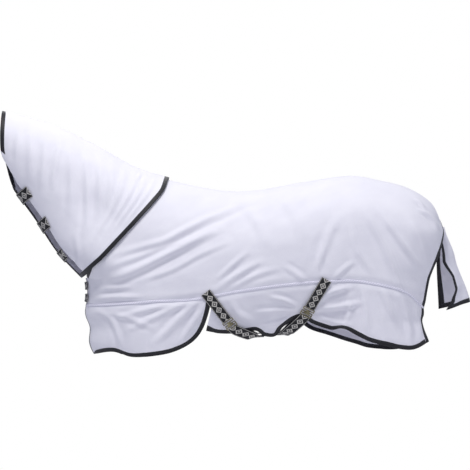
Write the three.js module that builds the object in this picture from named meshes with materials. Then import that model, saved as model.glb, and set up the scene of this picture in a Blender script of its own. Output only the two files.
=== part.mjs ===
// A horse's fly sheet: a mesh body rug with a detachable neck cover, fastened on and holding the
// shape of the horse it was put on. Millimetres, +Z up, +X towards the tail, -Y the near (left) side.
// The origin is the top line of the rug at the withers.
import * as THREE from 'three';

// ---------------------------------------------------------------- driving dimensions
const backLength = 1350; // the rug's size: withers to the root of the tail, along the back
const sideDrop = 820; // withers down to the lowest hem
const barrelHalfWidth = 300;
const withersHalfWidth = 250;
const hipHalfWidth = 272;
const chestHalfWidth = 215;
const pollHalfWidth = 95;
const midNeckHalfWidth = 140;
const bellyTuck = 85; // how far the surcingles draw the belly hem inwards
const skirtTuck = 22; // the same at the shoulder and the quarter, where the skirt hangs free

const meshThickness = 3; // knitted mesh with its doubled seams
const bindingThickness = 5; // edge tape folded over the mesh
const bindingWidth = 20;
const pipingWidth = 9;
const pipingThickness = 7;
const tapeThickness = 1.6; // seam tape and hook-and-loop
const webbingThickness = 2.4;
const surcingleWidth = 50;
const chestStrapWidth = 38;
const throatTabLength = 58; // along the throat
const plateThickness = 2.4;
const plateRim = 4; // metal round a slot
const slotHeight = 6;

const spineTapeWidth = 24;
const nearThroatSetback = 30; // the near neck panel stops short of the throat, and the tabs bridge it

const sewnGap = 3; // between two pieces sewn edge to edge
const neckEase = 3.7; // the neck cover lies loosely over the neckline
const layerGap = 0.5; // between two layers of cloth that lie on each other
const hollowGap = 0.8; // the same where the horse's outline is hollow, as at the withers

// ---------------------------------------------------------------- layers, out from the body mesh
const bodyLayer = 0;
const loopPatchLayer = (meshThickness + tapeThickness) / 2 + hollowGap;
const hookPatchLayer = loopPatchLayer + tapeThickness + layerGap;
const neckLayer = hookPatchLayer + (tapeThickness + meshThickness) / 2 + layerGap + neckEase;
const lowerStrapLayer = (bindingThickness + webbingThickness) / 2 + layerGap;
const upperStrapLayer = Math.max(
  lowerStrapLayer + (plateThickness + webbingThickness) / 2 + layerGap,
  (pipingThickness + webbingThickness) / 2 + layerGap,
);
const innerTapeLayer = -(meshThickness + tapeThickness) / 2 - 3 * layerGap;
const tabPatchLayer = neckLayer + (meshThickness + tapeThickness) / 2 + 2 * layerGap;
const tabLayer = Math.max(
  tabPatchLayer + (tapeThickness + webbingThickness) / 2 + layerGap,
  neckLayer + (bindingThickness + webbingThickness) / 2 + layerGap,
);

// ---------------------------------------------------------------- the pattern, seen from the side
// The pieces are drafted for a rug of this size and graded to the size above.
const draftedBackLength = 1350;
const draftedSideDrop = 820;
const gradeX = backLength / draftedBackLength;
const gradeZ = sideDrop / draftedSideDrop;

function pattern(...points) {
  return points.map(([x, z]) => new THREE.Vector2(x * gradeX, z * gradeZ));
}

function smoothLine(points, steps = 120) {
  return new THREE.SplineCurve(points).getSpacedPoints(steps);
}

const topLine = smoothLine(pattern(
  [-781, 312], [-564, 254], [-338, 150], [-169, 56], [0, 0], [226, -47], [395, -52],
  [620, -14], [850, 18], [1000, -4], [1130, -40], [1235, -108], [1278, -193],
), 240);
const throatLine = smoothLine(pattern([-713, -41], [-606, -188], [-512, -329], [-397, -451]));
const chestLine = smoothLine(pattern(
  [-384, -462], [-378, -500], [-378, -550], [-385, -625], [-358, -690], [-354, -761], [-330, -807],
));
const faceLineFar = smoothLine(pattern([-781, 312], [-782, 211], [-772, 121], [-742, 20], [-715, -40]));
const faceLineNear = smoothLine(pattern(
  [-781, 312], [-780, 211], [-772, 121], [-738, 58], [-700, -8], [-684, -60],
));
const neckRearLine = smoothLine(pattern(
  [2, 0], [-15, -56], [-56, -110], [-128, -191], [-276, -350], [-330, -398], [-397, -451],
));
const necklineLine = smoothLine(pattern([-105, 22], [-140, -60], [-230, -190], [-330, -330], [-384, -462]));
const sideSeam = smoothLine(pattern(
  [-383, -588], [-250, -580], [-60, -566], [120, -556], [350, -515], [560, -487], [760, -472],
  [900, -474], [1094, -518], [1192, -598],
));
const rearLine = smoothLine(pattern(
  [1278, -193], [1291, -235], [1286, -274], [1259, -367], [1223, -451], [1202, -547], [1192, -623],
  [1183, -669], [1206, -756],
));
const shoulderHem = smoothLine(pattern(
  [-330, -807], [-240, -795], [-150, -820], [-28, -808], [60, -781], [130, -740], [172, -680], [196, -600],
  [204, -538],
));
const quarterFrontLine = smoothLine(pattern([212, -530], [205, -600], [186, -680], [170, -740]));
const nearQuarterHem = smoothLine(pattern(
  [180, -692], [230, -712], [320, -714], [408, -706], [450, -733], [506, -734], [545, -680],
  [614, -640], [680, -672], [759, -697], [829, -690], [958, -751], [1114, -788], [1206, -756],
));
const farQuarterHem = smoothLine(pattern(
  [180, -716], [230, -724], [320, -720], [408, -710], [450, -733], [506, -734], [545, -690],
  [610, -668], [688, -713], [877, -764], [964, -792], [1080, -800], [1206, -760],
));

// The horse underneath runs on past the rug's own edges, so the rug stays open at the face and tail.
const horseFront = [
  ...pattern([-1000, 330], [-850, 120]), ...throatLine, ...chestLine, ...pattern([-320, -900]),
];
const rearOpening = 45; // how far the buttocks stand out behind the rug's rear edge
const horseRear = [...pattern([1290, 200]), ...rearLine, ...pattern([1230, -950])];

// ---------------------------------------------------------------- the shape of the horse
function valueOn(stations, at) {
  // Linear between stations of [where, value], which rise.
  const last = stations.length - 1;
  if (at <= stations[0][0]) {
    return stations[0][1];
  }
  for (let i = 0; i < last; i += 1) {
    const [from, a] = stations[i];
    const [to, b] = stations[i + 1];
    if (at <= to) {
      const t = (at - from) / (to - from);
      return THREE.MathUtils.lerp(a, b, t * t * (3 - 2 * t) * 0.5 + t * 0.5);
    }
  }
  return stations[last][1];
}

function heightOn(line, x) {
  // The height of a line that runs towards +X.
  let i = 1;
  while (i < line.length - 1 && line[i].x < x) {
    i += 1;
  }
  const t = (x - line[i - 1].x) / (line[i].x - line[i - 1].x);
  return THREE.MathUtils.lerp(line[i - 1].y, line[i].y, t);
}

function placeOn(line, z) {
  // The place in X of a line that runs downwards.
  let i = 1;
  while (i < line.length - 1 && line[i].y > z) {
    i += 1;
  }
  const t = (z - line[i - 1].y) / (line[i].y - line[i - 1].y);
  return THREE.MathUtils.lerp(line[i - 1].x, line[i].x, t);
}

const station = (x, value) => [x * gradeX, value];
const upperHalfWidths = [
  station(-781, pollHalfWidth), station(-400, midNeckHalfWidth), station(0, withersHalfWidth),
  station(450, barrelHalfWidth), station(800, barrelHalfWidth), station(1100, hipHalfWidth),
];
const lowerHalfWidths = [
  station(-400, chestHalfWidth), station(0, withersHalfWidth), station(450, barrelHalfWidth),
  station(800, barrelHalfWidth), station(1100, hipHalfWidth),
];
const crownDepths = [
  station(-781, 160), station(-400, 210), station(0, 330), station(450, 300), station(1000, 230),
  station(1250, 190),
];
const hemTucks = [
  station(-100, skirtTuck), station(250, bellyTuck), station(640, bellyTuck), station(1000, skirtTuck),
];
const frontDepths = [[-560, 250], [-300, 230]];
const rearDepth = 300;
const shoulderStarts = -100; // heights between which the neck widens into the shoulder
const shoulderEnds = -450;
const straightDrop = 60; // below the widest level, before the hem draws in
const tuckDrop = 330;

function roundOff(gap, depth) {
  return THREE.MathUtils.clamp(1 - gap / depth, 0, 1);
}

function halfWidthSquared(x, z) {
  const below = heightOn(topLine, x) - z;
  const crown = valueOn(crownDepths, x);
  const over = roundOff(below, crown);
  const front = roundOff(x - placeOn(horseFront, z), valueOn(frontDepths, z));
  const rear = roundOff(placeOn(horseRear, z) + rearOpening - x, rearDepth);
  const shoulder = 1 - THREE.MathUtils.smoothstep(z, shoulderEnds * gradeZ, shoulderStarts * gradeZ);
  const broad = THREE.MathUtils.lerp(valueOn(upperHalfWidths, x), valueOn(lowerHalfWidths, x), shoulder);
  const hang = Math.max(0, (below - crown - straightDrop) / tuckDrop);
  const width = broad - valueOn(hemTucks, x) * hang ** 2;
  return width ** 2 * (1 - over ** 2) * (1 - front ** 2) * (1 - rear ** 2);
}

const probe = 0.5; // step for measuring the surface's slope
const near = -1;
const far = 1;

function onHorse(side, place, layer) {
  // A point on the horse's surface at a place seen from the side, moved outwards to a layer.
  const squared = Math.max(halfWidthSquared(place.x, place.y), (sewnGap / 2) ** 2);
  const y = Math.sqrt(squared);
  const slopeX = (halfWidthSquared(place.x + probe, place.y) - halfWidthSquared(place.x - probe, place.y));
  const slopeZ = (halfWidthSquared(place.x, place.y + probe) - halfWidthSquared(place.x, place.y - probe));
  const outward = new THREE.Vector3(-slopeX / (2 * probe), 2 * y, -slopeZ / (2 * probe)).normalize();
  const point = new THREE.Vector3(place.x, y, place.y).addScaledVector(outward, layer);
  point.y = Math.max(point.y, sewnGap / 2) * side;
  return point;
}

// ---------------------------------------------------------------- lines on the pattern
function lengthsOf(line) {
  const lengths = [0];
  for (let i = 1; i < line.length; i += 1) {
    lengths.push(lengths[i - 1] + line[i].distanceTo(line[i - 1]));
  }
  return lengths;
}

function along(line, t) {
  const lengths = lengthsOf(line);
  const goal = t * lengths.at(-1);
  let i = 1;
  while (i < line.length - 1 && lengths[i] < goal) {
    i += 1;
  }
  const part = (goal - lengths[i - 1]) / (lengths[i] - lengths[i - 1]);
  return line[i - 1].clone().lerp(line[i], part);
}

function inwards(line, i, turn) {
  // The direction in the pattern across a line, to its right hand when turn is 1.
  const a = line[Math.max(i - 1, 0)];
  const b = line[Math.min(i + 1, line.length - 1)];
  const d = b.clone().sub(a).normalize();
  return new THREE.Vector2(d.y * turn, -d.x * turn);
}

function depthFor(place, direction, distance) {
  // How far to go across the pattern for a distance measured over the horse's surface.
  const steps = 14;
  const reach = (depth) => {
    let total = 0;
    let last = onHorse(far, place, 0);
    for (let k = 1; k <= steps; k += 1) {
      const next = onHorse(far, place.clone().addScaledVector(direction, depth * (k / steps) ** 2), 0);
      total += next.distanceTo(last);
      last = next;
    }
    return total;
  };
  let low = 0;
  let high = distance;
  for (let k = 0; k < 24; k += 1) {
    const middle = (low + high) / 2;
    if (reach(middle) < distance) {
      low = middle;
    } else {
      high = middle;
    }
  }
  return high;
}

function inset(line, distance, turn) {
  return line.map((place, i) => {
    const direction = inwards(line, i, turn);
    return place.clone().addScaledVector(direction, depthFor(place, direction, distance));
  });
}

function lengthened(line, by = 80) {
  const startWay = line[0].clone().sub(line[2]).normalize();
  const endWay = line.at(-1).clone().sub(line.at(-3)).normalize();
  return [
    line[0].clone().addScaledVector(startWay, by),
    ...line,
    line.at(-1).clone().addScaledVector(endWay, by),
  ];
}

function crossing(a, b) {
  // Where line a, lengthened, meets line b, lengthened, as an index along a.
  const p = lengthened(a);
  const q = lengthened(b);
  for (let i = 1; i < p.length; i += 1) {
    const r = p[i].clone().sub(p[i - 1]);
    for (let j = 1; j < q.length; j += 1) {
      const s = q[j].clone().sub(q[j - 1]);
      const w = q[j - 1].clone().sub(p[i - 1]);
      const cross = r.cross(s);
      const onP = w.cross(s) / cross;
      const onQ = w.cross(r) / cross;
      if (onP >= 0 && onP <= 1 && onQ >= 0 && onQ <= 1) {
        return { index: i - 1 + onP, point: p[i - 1].clone().addScaledVector(r, onP) };
      }
    }
  }
  throw new Error('two pattern lines that should meet do not');
}

function between(line, fromLine, toLine) {
  // The part of a line between the lines that cut it, in the order given.
  const from = crossing(line, fromLine);
  const to = crossing(line, toLine);
  const whole = lengthened(line);
  const low = Math.min(from.index, to.index);
  const high = Math.max(from.index, to.index);
  const inside = whole.filter((_, i) => i > low + 0.05 && i < high - 0.05);
  if (from.index > to.index) {
    inside.reverse();
  }
  return [from.point, ...inside, to.point];
}

// ---------------------------------------------------------------- making pieces
const rug = new THREE.Group();
const white = { color: 0xe9e7f6, roughness: 0.92, metalness: 0 };
const black = { color: 0x141416, roughness: 0.6, metalness: 0 };
const webbing = { color: 0x1b1b1e, roughness: 0.75, metalness: 0 };
const hookTape = { color: 0x202022, roughness: 0.95, metalness: 0 };
const metal = { color: 0x8a8468, roughness: 0.35, metalness: 0.9 };

function addPiece(name, geometry, finish) {
  const mesh = new THREE.Mesh(geometry, new THREE.MeshStandardMaterial(finish));
  mesh.name = name;
  rug.add(mesh);
  return mesh;
}

function turnInsideOut(geometry) {
  const index = geometry.index.array;
  for (let i = 0; i < index.length; i += 3) {
    [index[i + 1], index[i + 2]] = [index[i + 2], index[i + 1]];
  }
}

function matchInsideFace(geometry) {
  // Splits the inside face's squares along the outside's diagonals, so a twisted sheet stays one thickness.
  const index = geometry.index.array;
  const { start, count } = geometry.groups[5];
  for (let i = start; i < start + count; i += 6) {
    index[i + 2] = index[i + 4];
    index[i + 3] = index[i];
  }
}

function slab(name, place, acrossSteps, downSteps, finish, mirrored) {
  // A flat box bent so that (u, v, w) goes to place(u, v, w); w runs from -1/2 inside to 1/2 outside.
  const geometry = new THREE.BoxGeometry(1, 1, 1, acrossSteps, downSteps, 1);
  const position = geometry.attributes.position;
  for (let i = 0; i < position.count; i += 1) {
    const point = place(position.getX(i) + 0.5, 0.5 - position.getY(i), position.getZ(i));
    position.setXYZ(i, point.x, point.y, point.z);
  }
  matchInsideFace(geometry);
  if (mirrored) {
    turnInsideOut(geometry);
  }
  geometry.computeVertexNormals();
  return addPiece(name, geometry, finish);
}

function coons(top, bottom, left, right) {
  // The smooth patch inside four pattern lines that meet at their ends.
  const [a, b, c, d] = [top[0], top.at(-1), bottom[0], bottom.at(-1)];
  return (u, v) => {
    const point = along(top, u).multiplyScalar(1 - v);
    point.addScaledVector(along(bottom, u), v);
    point.addScaledVector(along(left, v), 1 - u);
    point.addScaledVector(along(right, v), u);
    point.addScaledVector(a, -(1 - u) * (1 - v)).addScaledVector(b, -u * (1 - v));
    return point.addScaledVector(c, -(1 - u) * v).addScaledVector(d, -u * v);
  };
}

const evenly = (t) => t;
const crowdedAtStart = (power) => (t) => t ** power;

function spreadThrough(...stops) {
  // Each stop is [share of the steps, place reached]; the first stretch crowds towards the top line.
  return (t) => {
    const next = stops.findIndex(([share]) => t <= share);
    const [share, goal] = stops[next];
    if (next === 0) {
      return goal * (t / share) ** 2;
    }
    const [fromShare, from] = stops[next - 1];
    return THREE.MathUtils.mapLinear(t, fromShare, share, from, goal);
  };
}

function crowdedAtBothEnds(t) {
  const middle = THREE.MathUtils.mapLinear(t, 0.25, 0.75, 0.1, 0.9);
  return t < 0.25 ? 0.1 * (t / 0.25) ** 2 : (t > 0.75 ? 1 - 0.1 * ((1 - t) / 0.25) ** 2 : middle);
}

function meshPanel(name, side, lines, steps, layer, spreadU, spreadV) {
  const patch = coons(lines.top, lines.bottom, lines.left, lines.right);
  const place = (u, v, w) => onHorse(side, patch(spreadU(u), spreadV(v)), layer + w * meshThickness);
  return slab(name, place, steps.u, steps.v, white, side === far);
}

function edgeStrip(name, side, outer, inner, size) {
  // A strip of tape between two pattern lines that run side by side.
  const spread = size.spread ?? evenly;
  const place = (u, v, w) => {
    const across = along(outer, spread(u)).lerp(along(inner, spread(u)), v);
    return onHorse(side, across, size.layer + w * size.thickness);
  };
  const outerIsAbove = along(outer, 0.5).sub(along(inner, 0.5));
  const way = along(outer, 1).sub(along(outer, 0));
  const leftHanded = way.cross(outerIsAbove) < 0;
  return slab(name, place, size.steps, 1, size.finish, (side === far) !== leftHanded);
}

function cutBetween(line, fromLine, toLine, distance, turn) {
  // A tape along a pattern line: its outer edge, its inner edge and the mesh edge that meets it.
  const cut = (by) => between(by ? inset(line, by, turn) : line, fromLine, toLine);
  return { outer: cut(0), inner: cut(distance) };
}

// ---------------------------------------------------------------- body rug, one side at a time
const bindingSize = { layer: bodyLayer, thickness: bindingThickness, steps: 24, finish: black };
const meshInset = bindingWidth + sewnGap;
const cornerEase = 0.35 * bindingWidth; // more room at the chest edge, where the panel turns a corner
const leftHand = -1;
const rightHand = 1;
const seamCrowding = 1.15; // the side seam's steps, closer together round the chest
const skirtCorner = 0.66; // share of the shoulder skirt's hem that is its lower edge; the rest is its rear

const chestMesh = inset(chestLine, meshInset + cornerEase, leftHand);
const chestCorner = inset(chestLine, meshInset + 2 * bindingWidth, leftHand);
const necklineMesh = inset(necklineLine, meshInset + 4 * sewnGap, leftHand);
const rearMesh = inset(rearLine, meshInset, rightHand);
const shoulderMesh = inset(shoulderHem, meshInset, leftHand);
const seamTop = inset(sideSeam, pipingWidth / 2 + sewnGap, leftHand);
const seamBottom = inset(sideSeam, pipingWidth / 2 + sewnGap, rightHand);

function splitAt(line, t) {
  const index = Math.round((line.length - 1) * t);
  return [line.slice(0, index + 1), line.slice(index)];
}

function makeBodySide(label, side, quarterHem) {
  const name = (piece) => `${label}_${piece}`;
  const hemMesh = inset(quarterHem, meshInset, leftHand);
  const quarterFront = quarterFrontLine;

  const neckEdge = between(necklineMesh, topLine, chestMesh);
  const chestEdge = between(chestMesh, necklineMesh, seamTop);
  const neckLength = lengthsOf(neckEdge).at(-1);
  const neckShare = neckLength / (neckLength + lengthsOf(chestEdge).at(-1));
  meshPanel(name('body_panel'), side, {
    top: between(topLine, necklineMesh, rearMesh),
    bottom: between(seamTop, chestMesh, rearMesh),
    left: [...neckEdge, ...chestEdge.slice(1)],
    right: between(rearMesh, topLine, seamTop),
  }, { u: 32, v: 16 }, bodyLayer, crowdedAtStart(seamCrowding), spreadThrough(
    [4 / 16, 0.12], [12 / 16, neckShare], [1, 1],
  ));

  const shoulderEdge = between(shoulderMesh, chestMesh, seamBottom);
  const [shoulderLow, shoulderRear] = splitAt(shoulderEdge, skirtCorner);
  meshPanel(name('shoulder_skirt'), side, {
    top: between(seamBottom, chestMesh, shoulderMesh),
    bottom: shoulderLow,
    left: between(chestMesh, seamBottom, shoulderMesh),
    right: [...shoulderRear].reverse(),
  }, { u: 15, v: 7 }, bodyLayer, crowdedAtStart(1.5), evenly);

  meshPanel(name('quarter_skirt'), side, {
    top: between(seamBottom, quarterFront, rearMesh),
    bottom: between(hemMesh, quarterFront, rearMesh),
    left: between(quarterFront, seamBottom, hemMesh),
    right: between(rearMesh, seamBottom, hemMesh),
  }, { u: 40, v: 4 }, bodyLayer, evenly, evenly);

  const pipe = {
    outer: between(inset(sideSeam, pipingWidth / 2, leftHand), chestMesh, rearMesh),
    inner: between(inset(sideSeam, pipingWidth / 2, rightHand), chestMesh, rearMesh),
  };
  edgeStrip(name('side_piping'), side, pipe.outer, pipe.inner, {
    layer: bodyLayer, thickness: pipingThickness, steps: 32, finish: white,
    spread: crowdedAtStart(seamCrowding),
  });

  const tapes = [
    ['chest_binding', cutBetween(chestLine, necklineLine, shoulderHem, bindingWidth, leftHand), 14],
    ['neckline_binding', cutBetween(necklineLine, topLine, chestCorner, bindingWidth, leftHand), 24],
    ['rear_binding', cutBetween(rearLine, topLine, quarterHem, bindingWidth, rightHand), 28],
    ['shoulder_hem_binding', cutBetween(shoulderHem, chestMesh, seamBottom, bindingWidth, leftHand), 22],
    ['quarter_hem_binding', cutBetween(quarterHem, quarterFront, rearMesh, bindingWidth, leftHand), 40],
  ];
  tapes.forEach(([piece, tape, steps]) => {
    const spread = piece === 'neckline_binding' ? crowdedAtStart(1.6) : evenly;
    edgeStrip(name(piece), side, tape.outer, tape.inner, { ...bindingSize, steps, spread });
  });
}

makeBodySide('near', near, nearQuarterHem);
makeBodySide('far', far, farQuarterHem);

function centreTape(name, line, size) {
  // A tape along the top of the horse, half of its width down each side.
  const inner = (turn) => inset(line, size.width / 2, turn);
  const edge = inner(rightHand);
  const place = (u, v, w) => {
    const side = v < 0.5 ? near : far;
    const out = Math.abs(v - 0.5) * 2;
    const down = size.spread(u);
    const at = along(line, down).lerp(along(edge, down), out ** 2);
    const point = onHorse(side, at, size.layer + w * size.thickness);
    if (v === 0.5) {
      point.y = 0;
    }
    return point;
  };
  return slab(name, place, size.steps, 4, size.finish, true);
}

const neckRearMesh = inset(neckRearLine, meshInset, rightHand);
const crestLine = between(topLine, inset(faceLineFar, meshInset, leftHand), neckRearMesh);
const spineLine = between(topLine, necklineMesh, rearMesh);
centreTape('spine_seam_tape', spineLine, {
  width: spineTapeWidth, layer: innerTapeLayer, thickness: tapeThickness, steps: 32, finish: white,
  spread: crowdedAtStart(seamCrowding),
});
centreTape('crest_seam_tape', crestLine, {
  width: spineTapeWidth, layer: neckLayer + innerTapeLayer, thickness: tapeThickness, steps: 14,
  finish: white,
  spread: evenly,
});

// ---------------------------------------------------------------- neck cover
const nearThroatLine = throatLine.map((place, i) => (
  place.clone().addScaledVector(inwards(throatLine, i, leftHand), nearThroatSetback)
));

function makeNeckPanel(label, side, faceLine, throatEdge) {
  const faceMesh = inset(faceLine, meshInset, leftHand);
  meshPanel(`neck_panel_${label}`, side, {
    top: between(topLine, faceMesh, neckRearMesh),
    bottom: between(throatEdge, faceMesh, neckRearMesh),
    left: between(faceMesh, topLine, throatEdge),
    right: between(neckRearMesh, topLine, throatEdge),
  }, { u: 14, v: 16 }, neckLayer, evenly, crowdedAtBothEnds);
}

makeNeckPanel('near', near, faceLineNear, nearThroatLine);
makeNeckPanel('far', far, faceLineFar, inset(throatLine, meshInset, leftHand));

const neckTape = { ...bindingSize, layer: neckLayer };
const throatTape = cutBetween(throatLine, faceLineFar, neckRearMesh, bindingWidth, leftHand);
const neckRearTape = cutBetween(neckRearLine, topLine, throatLine, bindingWidth, rightHand);
const neckTapes = [
  ['neck_rear_binding_near', near, neckRearTape, 24],
  ['neck_rear_binding_far', far, neckRearTape, 24],
  ['face_binding_near', near, cutBetween(faceLineNear, topLine, nearThroatLine, bindingWidth, leftHand), 16],
  ['face_binding_far', far, cutBetween(faceLineFar, topLine, inset(throatLine, meshInset, leftHand),
    bindingWidth, leftHand), 16],
  ['throat_binding_far', far, throatTape, 20],
];
neckTapes.forEach(([piece, side, tape, steps]) => {
  const spread = piece.startsWith('throat') ? evenly : crowdedAtStart(1.6);
  edgeStrip(piece, side, tape.outer, tape.inner, { ...neckTape, steps, spread });
});

// ---------------------------------------------------------------- hook-and-loop under the neck cover
function patchOnHorse(name, side, centre, size, layer, finish) {
  const place = (u, v, w) => {
    const at = new THREE.Vector2(centre.x + (u - 0.5) * size.x, centre.y + (0.5 - v) * size.y);
    return onHorse(side, at, layer + w * tapeThickness);
  };
  return slab(name, place, 2, 2, finish, side === far);
}

const withersPatch = new THREE.Vector2(25, 44);
const withersPatchAt = new THREE.Vector2(-95 * gradeX, -74 * gradeZ);
[['near', near], ['far', far]].forEach(([label, side]) => {
  patchOnHorse(`withers_loop_patch_${label}`, side, withersPatchAt, withersPatch, loopPatchLayer, hookTape);
  patchOnHorse(`withers_hook_patch_${label}`, side, withersPatchAt, withersPatch, hookPatchLayer, hookTape);
});

// ---------------------------------------------------------------- closures round the front
function roundFront(line, turn, t, over, layer) {
  // A point round a front line of the horse: over is measured round its surface, below 0 on the near side.
  const index = Math.round(THREE.MathUtils.clamp(t, 0, 1) * (line.length - 1));
  const direction = inwards(line, index, turn);
  const base = along(line, t);
  const side = over < 0 ? near : far;
  const at = base.clone().addScaledVector(direction, depthFor(base, direction, Math.abs(over)));
  const point = onHorse(side, at, layer);
  if (Math.abs(over) < 1) {
    point.y = 0;
  }
  return point;
}

function strapRoundFront(name, line, run, finish) {
  // A strap of run.width along the line, lying round it from run.from to run.to.
  const length = lengthsOf(line).at(-1);
  const place = (u, v, w) => {
    const t = run.at + ((v - 0.5) * run.width) / length;
    const over = THREE.MathUtils.lerp(run.from, run.to, u);
    return roundFront(line, leftHand, t, over, run.layer + w * run.thickness);
  };
  return slab(name, place, run.steps, 2, finish, true);
}

const throatTabs = [0.1, 0.42, 0.74]; // places of the tabs along the throat
const tabNearReach = 98;
const tabFarReach = 45;
const loopPatchWidth = 24;
const patchMargin = 2; // from the tab's end to the patch under it
throatTabs.forEach((at, i) => {
  strapRoundFront(`throat_tab_${i + 1}`, throatLine, {
    at, width: throatTabLength, from: -tabNearReach, to: tabFarReach,
    layer: tabLayer, thickness: webbingThickness, steps: 10,
  }, webbing);
  strapRoundFront(`throat_loop_patch_${i + 1}`, throatLine, {
    at, width: throatTabLength - 4 * patchMargin,
    from: -tabNearReach + patchMargin, to: -tabNearReach + patchMargin + loopPatchWidth,
    layer: tabPatchLayer, thickness: tapeThickness, steps: 2,
  }, hookTape);
});

// ---------------------------------------------------------------- metal fittings
function roundedBox(shape, x0, y0, x1, y1, r) {
  shape.moveTo(x0 + r, y0);
  shape.lineTo(x1 - r, y0);
  shape.absarc(x1 - r, y0 + r, r, -Math.PI / 2, 0, false);
  shape.lineTo(x1, y1 - r);
  shape.absarc(x1 - r, y1 - r, r, 0, Math.PI / 2, false);
  shape.lineTo(x0 + r, y1);
  shape.absarc(x0 + r, y1 - r, r, Math.PI / 2, Math.PI, false);
  shape.lineTo(x0, y0 + r);
  shape.absarc(x0 + r, y0 + r, r, Math.PI, 1.5 * Math.PI, false);
}

const cornerRadius = 3;
const slotRadius = 1.5;
const tongueReach = 16; // out from the slotted bar
const tongueHead = 6; // length of the tongue's cross-piece
const tongueNeckShare = 0.18; // half widths, as shares of the strap's width
const tongueHeadShare = 0.3;

function slotted(strapWidth, slots) {
  // A flat plate with one slot above another, each as wide as its strap; x runs down the strap.
  const half = strapWidth / 2 + plateRim;
  const length = slots * (slotHeight + plateRim) + plateRim;
  const shape = new THREE.Shape();
  roundedBox(shape, 0, -half, length, half, cornerRadius);
  for (let i = 0; i < slots; i += 1) {
    const from = plateRim + i * (slotHeight + plateRim);
    const hole = new THREE.Path();
    roundedBox(hole, from, -half + plateRim, from + slotHeight, half - plateRim, slotRadius);
    shape.holes.push(hole);
  }
  return { shape, length };
}

function hooked(strapWidth) {
  // A slotted bar with a T-shaped tongue that drops into the other plate's slot.
  const half = strapWidth / 2 + plateRim;
  const bar = slotHeight + 2 * plateRim;
  const neckHalf = strapWidth * tongueNeckShare;
  const headHalf = strapWidth * tongueHeadShare;
  const reach = bar + tongueReach;
  const shoulder = reach - tongueHead;
  const shape = new THREE.Shape([
    [0, -half], [bar, -half], [bar, -neckHalf], [shoulder, -neckHalf], [shoulder, -headHalf],
    [reach, -headHalf], [reach, headHalf], [shoulder, headHalf], [shoulder, neckHalf],
    [bar, neckHalf], [bar, half], [0, half],
  ].map(([x, y]) => new THREE.Vector2(x, y)));
  const hole = new THREE.Path();
  roundedBox(hole, plateRim, -half + plateRim, plateRim + slotHeight, half - plateRim, slotRadius);
  shape.holes.push(hole);
  return { shape, length: reach };
}

function addPlate(name, plate, frame) {
  const geometry = new THREE.ExtrudeGeometry(plate.shape, {
    depth: plateThickness, bevelEnabled: false, curveSegments: 1,
  });
  geometry.translate(0, 0, -plateThickness / 2);
  const mesh = addPiece(name, geometry, metal);
  const matrix = new THREE.Matrix4().makeBasis(frame.down, frame.across, frame.out);
  mesh.position.copy(frame.origin);
  mesh.quaternion.setFromRotationMatrix(matrix);
  return mesh;
}

function frameAt(origin, ahead, out) {
  const down = ahead.clone().sub(origin).normalize();
  const across = out.clone().cross(down).normalize();
  return { origin, down, across, out: down.clone().cross(across).normalize() };
}

// ---------------------------------------------------------------- cross surcingles
function ribbon(name, stops, width, steps) {
  // Webbing through stops of { at, out }: places and the way its outer face looks.
  const path = new THREE.CatmullRomCurve3(stops.map((stop) => stop.at), false, 'centripetal');
  const faces = new THREE.CatmullRomCurve3(stops.map((stop) => stop.out), false, 'centripetal');
  const place = (u, v, w) => {
    const forward = path.getTangent(u);
    const out = faces.getPoint(u).normalize();
    const across = forward.clone().cross(out).normalize();
    const face = across.clone().cross(forward).normalize();
    const point = path.getPoint(u).addScaledVector(across, (0.5 - v) * width);
    return point.addScaledVector(face, w * webbingThickness);
  };
  return slab(name, place, steps, 1, webbing, true);
}

function outwardAt(side, place) {
  return onHorse(side, place, 10).sub(onHorse(side, place, 0)).normalize();
}

function onFlank(side, x, z, layer) {
  const place = new THREE.Vector2(x * gradeX, z * gradeZ);
  return { at: onHorse(side, place, layer), out: outwardAt(side, place) };
}

const strapEndGap = 1;
const slidePlace = 0.62; // share of the way from the far hem to the strap's sewn end
const slideLift = 6;
const crossingGap = 4; // between the two straps where they cross
const straightRun = 8; // of webbing, straight out of a plate before it bends
const bellyRadius = 400; // that the straps lie round under the belly
const insideHalfWidth = 170; // out from the middle, where a strap leaves the hem's inner side
const underHalfWidth = 100;
const farSag = 20; // how far a strap hangs below the straight line on the far flank
const crossingHeight = -722 * gradeZ; // of the upper of the two straps, where they cross under the belly
const surcingles = [
  {
    label: 'front', top: [180, -523], end: [279, -648], hem: [388, -724], inside: [420, -733],
    farHem: [560, -718], farTop: [737, -470], under: crossingHeight - webbingThickness - crossingGap,
  },
  {
    label: 'rear', top: [737, -463], end: [659, -592], hem: [568, -698], inside: [540, -717],
    farHem: [385, -728], farTop: [180, -530], under: crossingHeight,
  },
];

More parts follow.
